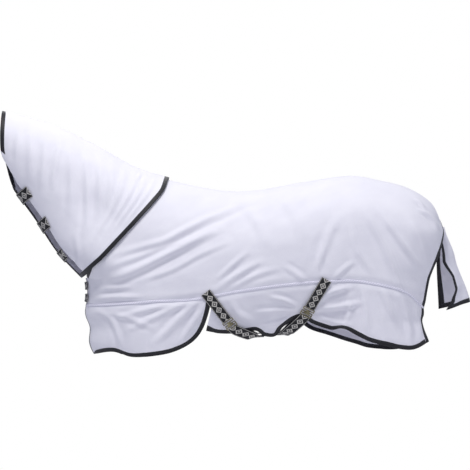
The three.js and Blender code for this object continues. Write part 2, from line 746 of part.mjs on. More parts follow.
surcingles.forEach((run) => {
  const top = onFlank(near, ...run.top, upperStrapLayer);
  const end = onFlank(near, ...run.end, upperStrapLayer + 2 * webbingThickness);
  const waist = onFlank(
    near, (run.top[0] + run.end[0]) / 2, (run.top[1] + run.end[1]) / 2, upperStrapLayer + webbingThickness,
  );
  ribbon(`near_${run.label}_surcingle`, [top, waist, end], surcingleWidth, 6);

  const hook = hooked(surcingleWidth);
  const slots = slotted(surcingleWidth, 2);
  const downTheStrap = end.at.clone().sub(waist.at).normalize();
  const hookFrame = frameAt(
    end.at.clone().addScaledVector(downTheStrap, strapEndGap),
    end.at.clone().addScaledVector(downTheStrap, hook.length), end.out,
  );
  addPlate(`near_${run.label}_hook_plate`, hook, hookFrame);

  const lift = -(plateThickness + layerGap);
  const slotStart = hookFrame.origin.clone()
    .addScaledVector(hookFrame.down, hook.length - plateRim - slotHeight)
    .addScaledVector(hookFrame.out, lift);
  const slotFrame = { ...hookFrame, origin: slotStart };
  addPlate(`${run.label}_slotted_plate`, slots, slotFrame);

  const webStart = slotStart.clone().addScaledVector(hookFrame.down, slots.length + strapEndGap);
  const edge = onFlank(near, ...run.hem, lowerStrapLayer);
  const farEdge = onFlank(far, ...run.farHem, lowerStrapLayer);
  const farTop = onFlank(far, ...run.farTop, upperStrapLayer);
  const middleX = (run.hem[0] + run.farHem[0]) / 2;
  const under = (x, y) => ({
    at: new THREE.Vector3(x * gradeX, y, run.under),
    out: new THREE.Vector3(0, y / bellyRadius, -1).normalize(),
  });
  const farMiddle = onFlank(
    far, (run.farTop[0] + run.farHem[0]) / 2, (run.farTop[1] + run.farHem[1]) / 2 - farSag,
    lowerStrapLayer + webbingThickness,
  );
  const start = { at: webStart, out: hookFrame.out };
  const straightOn = {
    at: webStart.clone().addScaledVector(hookFrame.down, straightRun), out: hookFrame.out,
  };
  const inside = {
    at: new THREE.Vector3(run.inside[0] * gradeX, -insideHalfWidth, run.inside[1] * gradeZ),
    out: new THREE.Vector3(0, -0.3, -1).normalize(),
  };
  const edgeOut = new THREE.Vector3(0, -0.8, -0.6);
  const farEdgeOut = new THREE.Vector3(0, 0.8, -0.6);
  ribbon(`${run.label}_belly_strap`, [
    start, straightOn, { at: edge.at, out: edgeOut }, inside,
    under(THREE.MathUtils.lerp(run.hem[0], middleX, 0.5), -underHalfWidth), under(middleX, 0),
    under(THREE.MathUtils.lerp(run.farHem[0], middleX, 0.5), underHalfWidth),
    { at: farEdge.at, out: farEdgeOut }, farMiddle, farTop,
  ], surcingleWidth, 30);
});

// Each belly strap's length is set by a three-bar slide on the far flank.
surcingles.forEach((run) => {
  const at = new THREE.Vector2(...run.farHem).lerp(new THREE.Vector2(...run.farTop), slidePlace);
  const layer = upperStrapLayer + slideLift;
  const from = onFlank(far, at.x, at.y, layer);
  const ahead = onFlank(far, ...run.farTop, layer);
  addPlate(`${run.label}_slide_adjuster`, slotted(surcingleWidth, 2), frameAt(from.at, ahead.at, from.out));
});

// ---------------------------------------------------------------- chest fastening
const chestLift = 3.5; // the fittings lie clear of the panel's bound edge
const chestLayer = upperStrapLayer + chestLift;
const chestLength = lengthsOf(chestLine).at(-1);
const seamShare = (crossing(chestLine, sideSeam).index - 1) / (chestLine.length - 1);
const chestPlateWidth = chestStrapWidth + 2 * plateRim;
const chestPlateGap = (seamShare * chestLength - 2 * chestPlateWidth) / 3; // neckline, plates and seam
const chestStraps = [ // name, place down the chest edge
  ['upper', (chestPlateGap + 0.5 * chestPlateWidth) / chestLength],
  ['lower', (2 * chestPlateGap + 1.5 * chestPlateWidth) / chestLength],
];
const chestNearReach = 55;
const chestFarReach = 42;
const chestFarEnd = 135;

chestStraps.forEach(([label, at]) => {
  strapRoundFront(`chest_strap_${label}`, chestLine, {
    at, width: chestStrapWidth, from: -chestNearReach, to: chestFarReach,
    layer: chestLayer, thickness: webbingThickness, steps: 8,
  }, webbing);
  const hook = hooked(chestStrapWidth);
  const plate = slotted(chestStrapWidth, 2);
  const spot = (over, layer) => roundFront(chestLine, leftHand, at, over, layer);
  const hookStart = spot(chestFarReach + strapEndGap, chestLayer);
  const middle = chestFarReach + hook.length / 2;
  const out = spot(middle, 10).sub(spot(middle, 0)).normalize();
  const frame = frameAt(hookStart, spot(chestFarReach + hook.length, chestLayer), out);
  addPlate(`chest_hook_plate_${label}`, hook, frame);
  const slotStart = hookStart.clone()
    .addScaledVector(frame.down, hook.length - plateRim - slotHeight)
    .addScaledVector(frame.out, -(plateThickness + layerGap));
  addPlate(`chest_slotted_plate_${label}`, plate, { ...frame, origin: slotStart });
  const tailStart = chestFarReach + hook.length - plateRim - slotHeight + plate.length + 4 * strapEndGap;
  strapRoundFront(`chest_anchor_strap_${label}`, chestLine, {
    at, width: chestStrapWidth, from: tailStart, to: chestFarEnd,
    layer: upperStrapLayer, thickness: webbingThickness, steps: 4,
  }, webbing);
});

// ---------------------------------------------------------------- tail flap
const flapWidth = 105; // half the width of the flap at its hem
const flapTop = -221;
const flapDrop = 350;
const flapBack = [[0, 1298], [0.4, 1346], [1, 1416]];
const flapHalfWidths = [[0, 12], [0.12, 34], [0.4, 80], [0.7, 98], [1, flapWidth]];
const nearCurl = [[0, 8], [0.15, 40], [0.42, 62], [0.6, 38], [0.74, 44], [0.9, 84], [1, 116]];
const farCurl = [[0, 8], [0.15, 40], [0.4, 78], [1, 138]];
const flapSweep = 38; // how much lower the hem is at its two ends

function onFlap(across, down, w) {
  const curl = valueOn(across < 0 ? nearCurl : farCurl, down);
  const y = across * valueOn(flapHalfWidths, down) + w * meshThickness * across;
  const x = (valueOn(flapBack, down) - curl * Math.abs(across) ** 2.2) * gradeX;
  const z = (flapTop - flapDrop * down - flapSweep * down * across ** 2) * gradeZ;
  return new THREE.Vector3(x + w * (1 - 0.6 * Math.abs(across)), y, z);
}

function flapPiece(name, acrossFrom, acrossTo, downFrom, downTo, steps, thickness, finish) {
  const place = (u, v, w) => onFlap(
    THREE.MathUtils.lerp(acrossFrom, acrossTo, u), THREE.MathUtils.lerp(downFrom, downTo, v), w * thickness,
  );
  return slab(name, place, steps.u, steps.v, finish, false);
}

const flapTape = bindingWidth / flapDrop;
const flapGap = sewnGap / flapDrop;
const flapBulge = 1.9; // the flap's half width round its curve, over its flat half width
const sideTape = bindingWidth / (flapWidth * flapBulge);
const sideGap = (sewnGap + layerGap * 2) / (flapWidth * flapBulge);
const sideMesh = 1 - sideTape - sideGap;
const flapTapeStart = 0.12; // the flap is sewn to the dock above this
const flapMeshEnd = 1 - flapTape - flapGap;
flapPiece('tail_flap', -sideMesh, sideMesh, 0, flapMeshEnd, { u: 14, v: 14 }, meshThickness, white);
flapPiece('tail_flap_hem_binding', -1, 1, 1 - flapTape, 1, { u: 14, v: 1 }, bindingThickness, black);
flapPiece('tail_flap_near_binding', -1, -1 + sideTape, flapTapeStart, flapMeshEnd, { u: 1, v: 14 },
  bindingThickness, black);
flapPiece('tail_flap_far_binding', 1 - sideTape, 1, flapTapeStart, flapMeshEnd, { u: 1, v: 14 },
  bindingThickness, black);

export default rug;
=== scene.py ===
import bmesh
import bpy
import numpy as np
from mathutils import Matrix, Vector, noise


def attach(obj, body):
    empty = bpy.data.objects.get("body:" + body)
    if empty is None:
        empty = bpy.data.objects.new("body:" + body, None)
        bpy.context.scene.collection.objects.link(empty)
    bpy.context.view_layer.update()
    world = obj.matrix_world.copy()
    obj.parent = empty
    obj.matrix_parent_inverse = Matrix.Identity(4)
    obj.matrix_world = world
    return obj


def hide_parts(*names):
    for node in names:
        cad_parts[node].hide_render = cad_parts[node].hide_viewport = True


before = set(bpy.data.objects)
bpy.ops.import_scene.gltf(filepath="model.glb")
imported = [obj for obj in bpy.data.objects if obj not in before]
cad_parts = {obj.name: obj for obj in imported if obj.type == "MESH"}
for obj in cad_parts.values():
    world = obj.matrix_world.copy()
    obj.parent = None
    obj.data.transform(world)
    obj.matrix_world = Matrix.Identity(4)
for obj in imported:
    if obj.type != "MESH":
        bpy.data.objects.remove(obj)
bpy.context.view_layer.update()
scene = bpy.context.scene

# -------------------- studio
# A plain pale floor well below the rug, a white surround, one large soft light high in front, a fill
# from the tail end and a long lens square on to the near side.
camera_data = bpy.data.cameras.new("studio_camera")
camera_data.sensor_width = 36
camera_distance, view_width = 14.0, 2.209
camera_data.lens = camera_data.sensor_width * camera_distance / view_width
camera_data.clip_end = 60
camera = bpy.data.objects.new("studio_camera", camera_data)
camera.location = (0.315, -camera_distance, -0.2585)
camera.rotation_euler = (np.pi / 2, 0, 0)
scene.collection.objects.link(camera)
scene.camera = camera
scene.view_settings.view_transform = "Standard"


def linear(hex_colour):
    """An sRGB hex colour as the linear colour that a shader takes."""
    values = [int(hex_colour[i : i + 2], 16) / 255 for i in (0, 2, 4)]
    return tuple(v / 12.92 if v <= 0.04045 else ((v + 0.055) / 1.055) ** 2.4 for v in values) + (1.0,)


def add_node(tree, kind, inputs=(), **settings):
    """One node, with its settings, and its inputs as values or as the sockets that feed them."""
    node = tree.nodes.new(kind)
    for key, value in settings.items():
        setattr(node, key, value)
    for key, value in dict(inputs).items():
        if isinstance(value, bpy.types.NodeSocket):
            tree.links.new(value, node.inputs[key])
        else:
            node.inputs[key].default_value = value
    return node


wave_period = 0.3142  # of a wave texture at scale 1


def calc(tree, operation, *values):
    """The value of one maths node."""
    return add_node(tree, "ShaderNodeMath", dict(enumerate(values)), operation=operation).outputs[0]


def bands(tree, place, spacing, direction):
    """Stripes of a real spacing in metres, from 0 to 1 and back."""
    inputs = {"Vector": place, "Scale": wave_period / spacing}
    wave = add_node(tree, "ShaderNodeTexWave", inputs, wave_type="BANDS", bands_direction=direction)
    return wave.outputs["Fac"]


def blend(tree, factor, a, b):
    """One colour mixed into another."""
    return add_node(tree, "ShaderNodeMix", {"Factor": factor, "A": a, "B": b}, data_type="RGBA").outputs[2]


def bump(tree, height, strength, distance, **settings):
    inputs = {"Height": height, "Strength": strength, "Distance": distance}
    return add_node(tree, "ShaderNodeBump", inputs, **settings).outputs[0]


def new_material(name):
    material = bpy.data.materials.new(name)
    material.use_nodes = True
    tree = material.node_tree
    return material, tree, tree.nodes["Principled BSDF"]


def ink(shader, **values):
    """Sets a shader's own sockets, or links what is a socket."""
    tree = shader.id_data
    for key, value in values.items():
        socket = shader.inputs[key.replace("_", " ")]
        if isinstance(value, bpy.types.NodeSocket):
            tree.links.new(value, socket)
        else:
            socket.default_value = value


world = bpy.data.worlds.new("white_surround")
scene.world = world
world.use_nodes = True
sky = world.node_tree
background = sky.nodes["Background"]
background.inputs["Color"].default_value = linear("e6eaff")
background.inputs["Strength"].default_value = 0.44
seen = add_node(sky, "ShaderNodeBackground", {"Color": linear("ffffff"), "Strength": 1.0})
ray = add_node(sky, "ShaderNodeLightPath")
surround = add_node(
    sky, "ShaderNodeMixShader",
    {0: ray.outputs["Is Camera Ray"], 1: background.outputs[0], 2: seen.outputs[0]},
)
sky.links.new(surround.outputs[0], sky.nodes["World Output"].inputs["Surface"])

floor_mesh = bpy.data.meshes.new("studio_floor")
shape = bmesh.new()
bmesh.ops.create_grid(shape, x_segments=1, y_segments=1, size=4.0)
bmesh.ops.translate(shape, verts=shape.verts, vec=(0.3, 0, -1.75))
shape.to_mesh(floor_mesh)
shape.free()
floor = bpy.data.objects.new("studio_floor", floor_mesh)
scene.collection.objects.link(floor)
floor_paint, tree, shader = new_material("matt_studio_paint")
ink(shader, Base_Color=linear("f4f4f6"), Roughness=0.9)
floor_mesh.materials.append(floor_paint)


def add_light(name, place, aim, size, watts):
    data = bpy.data.lights.new(name, "AREA")
    data.shape = "SQUARE"
    data.size = size
    data.energy = watts
    light = bpy.data.objects.new(name, data)
    data.color = (1.0, 0.985, 0.955)
    light.location = place
    light.rotation_euler = (Vector(aim) - Vector(place)).to_track_quat("-Z", "Y").to_euler()
    scene.collection.objects.link(light)
    return light


key_light = add_light("key_light", (-0.3, -2.3, 3.6), (0.3, 0, -0.3), 1.3, 135)
fill_light = add_light("fill_light", (4.2, -2.0, 1.0), (0.9, 0, -0.3), 2.0, 16)
back_light = add_light("back_light", (0.2, 3.4, 3.0), (0.2, 0, -0.2), 2.4, 45)

# -------------------- near body panel
# The main half of the rug on the near side: one piece of knitted polyester mesh from the spine seam
# down to the piped side seam, cut to the horse's outline and eased over its barrel.
mesh_thickness = 2.2
near, far = -1, 1


def along(line, t):
    """Points at shares t of a line's length, from 0 to 1."""
    reach = np.concatenate([[0], np.cumsum(np.linalg.norm(np.diff(line, axis=0), axis=1))])
    goals = np.clip(t, 0, 1) * reach[-1]
    return np.stack([np.interp(goals, reach, line[:, k]) for k in range(line.shape[1])], axis=-1)


def smooth_line(points, steps=120):
    """A flowing pattern line through a few (x, z) points, x towards the tail and z up."""
    p = np.array(points, float)
    ends = np.vstack([p[:1], p, p[-1:]])
    t = np.linspace(0, 1, 40, endpoint=False)[:, None]
    runs = []
    for a, b, c, d in zip(ends, ends[1:], ends[2:], ends[3:]):
        out, into = (c - a) / 2, (d - b) / 2
        cubic, square = 2 * b - 2 * c + out + into, 3 * c - 3 * b - 2 * out - into
        runs.append(cubic * t**3 + square * t**2 + out * t + b)
    return along(np.vstack(runs + [p[-1:]]), np.linspace(0, 1, steps + 1))


top_line = smooth_line([
    (-781, 312), (-564, 254), (-338, 150), (-169, 56), (0, 0), (226, -47), (395, -52),
    (620, -14), (850, 18), (1000, -4), (1130, -40), (1235, -108), (1278, -193),
], 240)
throat_line = smooth_line([(-713, -41), (-606, -188), (-512, -329), (-397, -451)])
chest_line = smooth_line([
    (-384, -462), (-378, -500), (-378, -550), (-385, -625), (-358, -690), (-354, -761), (-330, -807),
])
neckline = smooth_line([(-105, 22), (-140, -60), (-230, -190), (-330, -330), (-384, -462)])
side_seam = smooth_line([
    (-383, -588), (-250, -580), (-60, -566), (120, -556), (350, -515), (560, -487), (760, -472),
    (900, -474), (1094, -518), (1192, -598),
])
rear_line = smooth_line([
    (1278, -193), (1291, -235), (1286, -274), (1259, -367), (1223, -451), (1202, -547), (1192, -623),
    (1183, -669), (1206, -756),
])
neck_rear_line = smooth_line([
    (2, 0), (-15, -56), (-56, -110), (-128, -191), (-276, -350), (-330, -398), (-397, -451),
])

horse_front = np.vstack([[(-1000, 330), (-850, 120)], throat_line, chest_line, [(-320, -900)]])
horse_rear = np.vstack([[(1290, 200)], rear_line, [(1230, -950)]])
upper_half_widths = [(-781, 95), (-400, 140), (0, 250), (450, 300), (800, 300), (1100, 272)]
lower_half_widths = [(-400, 215), (0, 250), (450, 300), (800, 300), (1100, 272)]
crown_depths = [(-781, 160), (-400, 210), (0, 330), (450, 300), (1000, 230), (1250, 190)]
hem_tucks = [(-100, 22), (250, 85), (640, 85), (1000, 22)]
front_depths = [(-560, 250), (-300, 230)]


def lengthened(line, by=80):
    start = (line[0] - line[2]) / np.linalg.norm(line[0] - line[2])
    end = (line[-1] - line[-3]) / np.linalg.norm(line[-1] - line[-3])
    return np.vstack([line[0] + start * by, line, line[-1] + end * by])


def value_on(stations, at):
    """A size graded between stations of (where, value)."""
    where, values = np.array(stations, float).T
    at = np.clip(at, where[0], where[-1])
    i = np.clip(np.searchsorted(where, at, side="left"), 1, len(where) - 1)
    t = (at - where[i - 1]) / (where[i] - where[i - 1])
    t = t * t * (3 - 2 * t) * 0.5 + t * 0.5
    return values[i - 1] + (values[i] - values[i - 1]) * t


back_profile = lengthened(top_line, 300)


def smooth_step(value, low, high):
    t = np.clip((value - low) / (high - low), 0, 1)
    return t * t * (3 - 2 * t)


def half_width_squared(x, z):
    """The horse's half width, squared, at a place seen from the side."""
    below = np.interp(x, back_profile[:, 0], back_profile[:, 1]) - z
    crown = value_on(crown_depths, x)
    over = np.clip(1 - below / crown, 0, 1)
    front_at = np.interp(-z, -horse_front[:, 1], horse_front[:, 0])
    front = np.clip(1 - (x - front_at) / value_on(front_depths, z), 0, 1)
    rear_at = np.interp(-z, -horse_rear[:, 1], horse_rear[:, 0])
    rear = np.clip(1 - (rear_at + 45 - x) / 300, 0, 1)
    shoulder = 1 - smooth_step(z, -450, -100)
    upper, lower = value_on(upper_half_widths, x), value_on(lower_half_widths, x)
    hang = np.maximum(0, (below - crown - 60) / 330)
    width = upper + (lower - upper) * shoulder - value_on(hem_tucks, x) * hang**2
    return width**2 * (1 - over**2) * (1 - front**2) * (1 - rear**2)


def on_horse(side, places, out=0.0):
    """Points over the horse's surface at places seen from the side, moved outwards by out."""
    x, z = places[..., 0], places[..., 1]
    y = np.sqrt(np.maximum(half_width_squared(x, z), 0.5))
    slope_x = half_width_squared(x + 0.5, z) - half_width_squared(x - 0.5, z)
    slope_z = half_width_squared(x, z + 0.5) - half_width_squared(x, z - 0.5)
    outward = np.stack([-slope_x, 2 * y, -slope_z], axis=-1)
    outward /= np.linalg.norm(outward, axis=-1, keepdims=True)
    points = np.stack([x, y, z], axis=-1) + outward * np.asarray(out)[..., None]
    points[..., 1] = np.maximum(points[..., 1], 0.4) * side
    return points


def inwards(line, turn):
    """The way across a line at each of its points: to its right hand when turn is 1."""
    d = np.vstack([line[1:], line[-1:]]) - np.vstack([line[:1], line[:-1]])
    d /= np.linalg.norm(d, axis=1, keepdims=True)
    return np.stack([d[:, 1] * turn, -d[:, 0] * turn], axis=1)


def depth_for(places, ways, distance):
    """How far to go across the pattern for a distance measured over the horse's surface."""
    distance = np.broadcast_to(np.asarray(distance, float), places.shape[:-1])
    low, high = np.zeros(distance.shape), distance.copy()
    share = (np.arange(15) / 14) ** 2
    for _ in range(22):
        middle = (low + high) / 2
        path = places[..., None, :] + ways[..., None, :] * (middle[..., None] * share)[..., None]
        reach = np.linalg.norm(np.diff(on_horse(far, path), axis=-2), axis=-1).sum(-1)
        low, high = np.where(reach < distance, middle, low), np.where(reach < distance, high, middle)
    return high


def inset(line, distance, turn):
    ways = inwards(line, turn)
    return line + ways * depth_for(line, ways, distance)[:, None]


def crossing(a, b):
    """Where line a, lengthened, meets line b, lengthened: its place along a, and the point."""
    p, q = lengthened(a), lengthened(b)
    r, s = np.diff(p, axis=0)[:, None], np.diff(q, axis=0)[None]
    w = q[:-1][None] - p[:-1][:, None]
    cross = r[..., 0] * s[..., 1] - r[..., 1] * s[..., 0]
    on_p = (w[..., 0] * s[..., 1] - w[..., 1] * s[..., 0]) / cross
    on_q = (w[..., 0] * r[..., 1] - w[..., 1] * r[..., 0]) / cross
    hits = np.argwhere((on_p >= 0) & (on_p <= 1) & (on_q >= 0) & (on_q <= 1))
    i, j = hits[0]
    return i + on_p[i, j], p[i] + r[i, 0] * on_p[i, j]


def between(line, from_line, to_line):
    """The part of a line between the two lines that cut it, in the order given."""
    (start, first), (stop, last) = crossing(line, from_line), crossing(line, to_line)
    whole = lengthened(line)
    inside = [whole[i] for i in range(len(whole)) if min(start, stop) + 0.05 < i < max(start, stop) - 0.05]
    if start > stop:
        inside.reverse()
    return np.array([first, *inside, last])


def patch(top, bottom, left, right, u, v):
    """The smooth patch inside four pattern lines that meet at their ends."""
    a, b, c, d = top[0], top[-1], bottom[0], bottom[-1]
    v, u = np.meshgrid(v, u, indexing="ij")
    tops, bottoms, lefts, rights = along(top, u), along(bottom, u), along(left, v), along(right, v)
    u, v = u[..., None], v[..., None]
    point = tops * (1 - v) + bottoms * v + lefts * (1 - u) + rights * u
    return point - a * (1 - u) * (1 - v) - b * u * (1 - v) - c * (1 - u) * v - d * u * v


# Each fold is (width, height, the line of its crest); the cloth dips beside it, on its lower side.
body_folds = [
    (15, 8, [(-233, -345), (-118, -315), (-8, -283), (88, -234), (183, -186), (256, -157), (432, -80)]),
    (17, 12, [(-291, -460), (-233, -454), (-128, -412), (-32, -363), (64, -315), (160, -268), (254, -229)]),
    (13, 5, [(-260, -400), (-150, -365), (-30, -320), (90, -275)]),
    (12, 4, [(-120, -470), (20, -420), (150, -350), (290, -290)]),
    (14, 6, [(235, -500), (330, -440), (432, -376)]),
    (12, 5, [(225, -470), (300, -400), (380, -330)]),
    (13, 4, [(300, -495), (420, -440), (520, -410)]),
    (16, 8, [(921, -149), (1000, -300), (1054, -426), (1090, -520), (1150, -600)]),
    (14, 7, [(981, -136), (1087, -294), (1186, -420)]),
    (18, 6, [(790, -175), (744, -268), (691, -420)]),
    (14, 4, [(850, -200), (880, -330), (960, -440)]),
    (9, 7, [(1165, -140), (1215, -168), (1262, -225)]),
    (7, 5, [(1150, -92), (1178, -112), (1200, -140)]),
    (16, 5, [(1120, -180), (1180, -300), (1215, -430)]),
    (10, 6, [(-350, -556), (-250, -548), (-120, -545)]),
    (10, 5, [(-345, -520), (-270, -505), (-160, -500)]),
    (12, 5, [(640, -478), (600, -440), (540, -400)]),
    (11, 5, [(765, -470), (800, -430), (860, -380)]),
    (12, 4, [(700, -430), (705, -380), (720, -320)]),
    (20, 4, [(330, -90), (420, -200), (470, -330)]),
    (22, 4, [(520, -70), (600, -180), (620, -300)]),
]
skirt_folds = [
    (15, 8, [(170, -545), (60, -640), (-60, -760)]),
    (14, 7, [(185, -560), (130, -650), (60, -755)]),
    (13, 6, [(150, -560), (0, -610), (-180, -700)]),
    (12, 5, [(100, -570), (-80, -600), (-250, -650)]),
    (12, 5, [(-330, -610), (-250, -660), (-200, -780)]),
    (12, 4, [(-290, -620), (-180, -640), (-60, -690)]),
    (11, 6, [(600, -590), (540, -560), (470, -545)]),
    (11, 6, [(595, -610), (500, -610), (410, -620)]),
    (12, 7, [(590, -640), (520, -670), (430, -690)]),
    (12, 8, [(690, -560), (760, -520), (850, -500)]),
    (13, 9, [(680, -600), (780, -590), (900, -570)]),
    (13, 8, [(670, -630), (770, -660), (860, -672)]),
    (14, 8, [(993, -502), (1025, -590), (1057, -671)]),
    (14, 7, [(900, -500), (920, -600), (935, -715)]),
    (13, 6, [(1080, -540), (1110, -650), (1120, -760)]),
    (12, 5, [(840, -490), (850, -580), (830, -670)]),
    (12, 6, [(1150, -590), (1165, -680), (1170, -740)]),
    (14, 5, [(300, -560), (330, -620), (400, -660)]),
]
strap_lines = [[(180, -523), (285, -655), (388, -724)], [(737, -463), (659, -592), (568, -698)]]


def from_line(places, line):
    """How far each place is from a line, below it or above it, and how far along it."""
    line = np.array(line, float)
    a, d = line[:-1], np.diff(line, axis=0)
    size = np.linalg.norm(d, axis=1)
    before = np.concatenate([[0], np.cumsum(size)])
    w = places[..., None, :] - a
    t = np.clip((w * d).sum(-1) / size**2, 0, 1)
    off = w - t[..., None] * d
    gap = np.linalg.norm(off, axis=-1)
    i = gap.argmin(-1)[..., None]
    turn = np.sign(d[:, 0] * w[..., 1] - d[:, 1] * w[..., 0])
    take = lambda values: np.take_along_axis(values, i, -1)[..., 0]
    return take(gap), take(np.broadcast_to(turn, gap.shape)), take(before[:-1] + t * size) / before[-1]


def fold_heights(places, folds):
    total = np.zeros(places.shape[:-1])
    for width, height, crest in folds:
        line = along(smooth_line(crest, 60), np.linspace(0, 1, 25))
        gap, turn, at = from_line(places, line)
        fade = np.clip(np.sin(np.pi * np.clip(at, 0.02, 0.98)), 0, 1) ** 0.7
        lift = np.exp(-((gap / width) ** 2))
        beside = np.exp(-(((gap - 1.75 * width) / width) ** 2)) * np.where(turn < 0, 0.62, 0.25)
        total += height * fade * (lift - beside)
    return total


def ripple(places, size, seed):
    """Gentle unevenness of hung cloth, in hills about as wide as size."""
    flat = places.reshape(-1, 2) / size
    values = [noise.noise((float(a), float(b), seed)) for a, b in flat]
    return np.array(values).reshape(places.shape[:-1])


def held_flat(places):
    """Near 0 where a strap or the neck cover holds the rug flat, and 1 elsewhere."""
    free = np.ones(places.shape[:-1])
    for line in strap_lines:
        gap, _, _ = from_line(places, line)
        free *= 1 - 0.8 * np.exp(-((gap / 34) ** 2))
    gap, turn, _ = from_line(places, neck_rear_line)
    ahead = np.where(turn < 0, np.clip(1 - gap / 60, 0.25, 1), np.ones(gap.shape))
    return free * ahead


def hang_out(places):
    """The skirts flare towards their hems at shoulder and quarter, and tuck in between the straps."""
    x = places[..., 0]
    drop = np.clip((np.interp(x, side_seam[:, 0], side_seam[:, 1]) - places[..., 1]) / 200, 0, 1.2)
    shoulder = 17 * (1 - smooth_step(x, 40, 200))
    quarter = 20 * smooth_step(x, 720, 900)
    belly = -14 * smooth_step(x, 330, 420) * (1 - smooth_step(x, 500, 590))
    return (shoulder + quarter + belly) * drop**1.2


def rug_relief(side):
    """How far the body rug's cloth stands off the horse at a place."""
    strength, seed = (1.2, 3.1) if side == near else (1.0, 8.7)

    def relief(places):
        gap, _, _ = from_line(places, side_seam)
        below = places[..., 1] < np.interp(places[..., 0], side_seam[:, 0], side_seam[:, 1])
        folds = fold_heights(places, body_folds) * np.where(below, np.clip(1 - gap / 60, 0, 1), 1)
        folds += fold_heights(places, skirt_folds) * np.where(below, 1, np.clip(1 - gap / 60, 0, 1))
        rough = 3.2 * ripple(places, 150, seed) + 1.3 * ripple(places, 55, seed + 4)
        drawn = -2.6 * np.exp(-((gap / 15) ** 2)) + 1.6 * np.exp(-(((gap - 30) / 16) ** 2))
        edge = np.clip(half_width_squared(places[..., 0], places[..., 1]) / 90**2, 0.0, 1.0)
        return (strength * folds + rough) * held_flat(places) * edge + drawn * edge + hang_out(places)

    return relief


def lengths_across(points, axis):
    steps = np.linalg.norm(np.diff(points, axis=axis), axis=-1)
    start = np.zeros_like(np.take(steps, [0], axis=axis))
    return np.cumsum(np.concatenate([start, steps], axis=axis), axis=axis)


def sheet_object(name, node, points, material, thickness, body, flip=False, bevel=0.0):
    """A sheet in a node's place: a grid whose points are moved to where the cloth lies, then made thick.
    Its UV map holds the distance along and across the cloth, in metres."""
    rows, columns = points.shape[:2]
    sheet = bmesh.new()
    bmesh.ops.create_grid(sheet, x_segments=columns - 1, y_segments=rows - 1, size=0.5)
    sheet.verts.ensure_lookup_table()
    order = sorted(sheet.verts, key=lambda v: (round(-v.co.y, 6), round(v.co.x, 6)))
    flat = points.reshape(-1, 3) / 1000
    place = {}
    for k, (vert, point) in enumerate(zip(order, flat)):
        vert.co = point
        place[vert.index] = k
    across, down = lengths_across(points, 1).ravel() / 1000, lengths_across(points, 0).ravel() / 1000
    layer = sheet.loops.layers.uv.new("cloth")
    for face in sheet.faces:
        face.smooth = True
        for loop in face.loops:
            k = place[loop.vert.index]
            loop[layer].uv = (across[k], down[k])
    if flip:
        bmesh.ops.reverse_faces(sheet, faces=sheet.faces)
    data = bpy.data.meshes.new(name)
    sheet.to_mesh(data)
    sheet.free()
    piece = bpy.data.objects.new(name, data)
    scene.collection.objects.link(piece)
    data.materials.append(material)
    shell = piece.modifiers.new("cloth_thickness", "SOLIDIFY")
    shell.thickness = thickness / 1000
    shell.offset = 0
    shell.use_even_offset = True
    if bevel:
        soft = piece.modifiers.new("soft_edge", "BEVEL")
        soft.width = bevel / 1000
        soft.segments = 2
        soft.limit_method = "ANGLE"
        soft.angle_limit = 0.9
    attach(piece, body)
    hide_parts(node)
    return piece


# Warp-knitted polyester: a soft matt cloth of small open pores in straight rows. The real pores are about
# 2 mm apart; they are drawn 6 mm apart, so that they show.
pore_spacing = 0.006
cloth_white = linear("f3f2f9")
pore_shade = linear("d8d7e4")
fly_mesh, tree, shader = new_material("warp_knitted_polyester_mesh")
cloth_map = add_node(tree, "ShaderNodeUVMap", uv_map="cloth").outputs[0]
rows = bands(tree, cloth_map, pore_spacing, "X")
courses = bands(tree, cloth_map, pore_spacing, "Y")
pores = calc(tree, "MULTIPLY", rows, courses)
wear = add_node(tree, "ShaderNodeTexNoise", {"Vector": cloth_map, "Scale": 9.0, "Detail": 3.0})
tint = add_node(tree, "ShaderNodeMapRange", {
    "Value": wear.outputs["Fac"], "From Min": 0.3, "From Max": 0.7, "To Min": 0.0, "To Max": 0.25,
})
pore_amount = add_node(tree, "ShaderNodeMapRange", {
    "Value": pores, "From Min": 0.45, "From Max": 0.95, "To Min": 0.0, "To Max": 0.55,
})
shade = calc(tree, "MAXIMUM", pore_amount.outputs[0], tint.outputs[0])
cloth = blend(tree, shade, cloth_white, pore_shade)
knit = bump(tree, pores, 0.25, 0.001, invert=True)
ink(shader, Base_Color=cloth, Roughness=0.88, Normal=knit, Sheen_Weight=0.25, Sheen_Roughness=0.5,
    Specular_IOR_Level=0.2)


def fly_sheet(name, node, points, side=near, body="body_rug"):
    return sheet_object(name, node, points, fly_mesh, mesh_thickness, body, side == far)


binding_width = 20
mesh_in = 8  # the mesh's raw edge lies this far inside its binding's fold
mesh_start = binding_width + 3  # from an edge to the bare mesh, past its binding
left_hand, right_hand = -1, 1
chest_edge = inset(chest_line, mesh_in, left_hand)
neckline_edge = inset(neckline, mesh_in, left_hand)
rear_edge = inset(rear_line, mesh_in, right_hand)
seam_top = inset(side_seam, 2.0, left_hand)
seam_bottom = inset(side_seam, 2.0, right_hand)
neck_part = between(neckline_edge, top_line, chest_edge)
chest_part = between(chest_edge, neckline_edge, seam_top)
body_patch = patch(
    between(top_line, neckline_edge, rear_edge), between(seam_top, chest_edge, rear_edge),
    np.vstack([neck_part, chest_part[1:]]), between(rear_edge, top_line, seam_top),
    np.linspace(0, 1, 231) ** 1.35, np.linspace(0, 1, 131) ** 1.6,
)
near_relief, far_relief = rug_relief(near), rug_relief(far)
both_sides = ((near, "near", near_relief), (far, "far", far_relief))
near_body_points = on_horse(near, body_patch, near_relief(body_patch))
near_body = fly_sheet("near_body_mesh", "near_body_panel", near_body_points)

# -------------------- far body panel
# The same half on the far side, seen inside out at the neck opening and under the belly. It is cut to the
# same pattern, and its folds are a little shallower.
far_body_points = on_horse(far, body_patch, far_relief(body_patch))
far_body = fly_sheet("far_body_mesh", "far_body_panel", far_body_points, far)

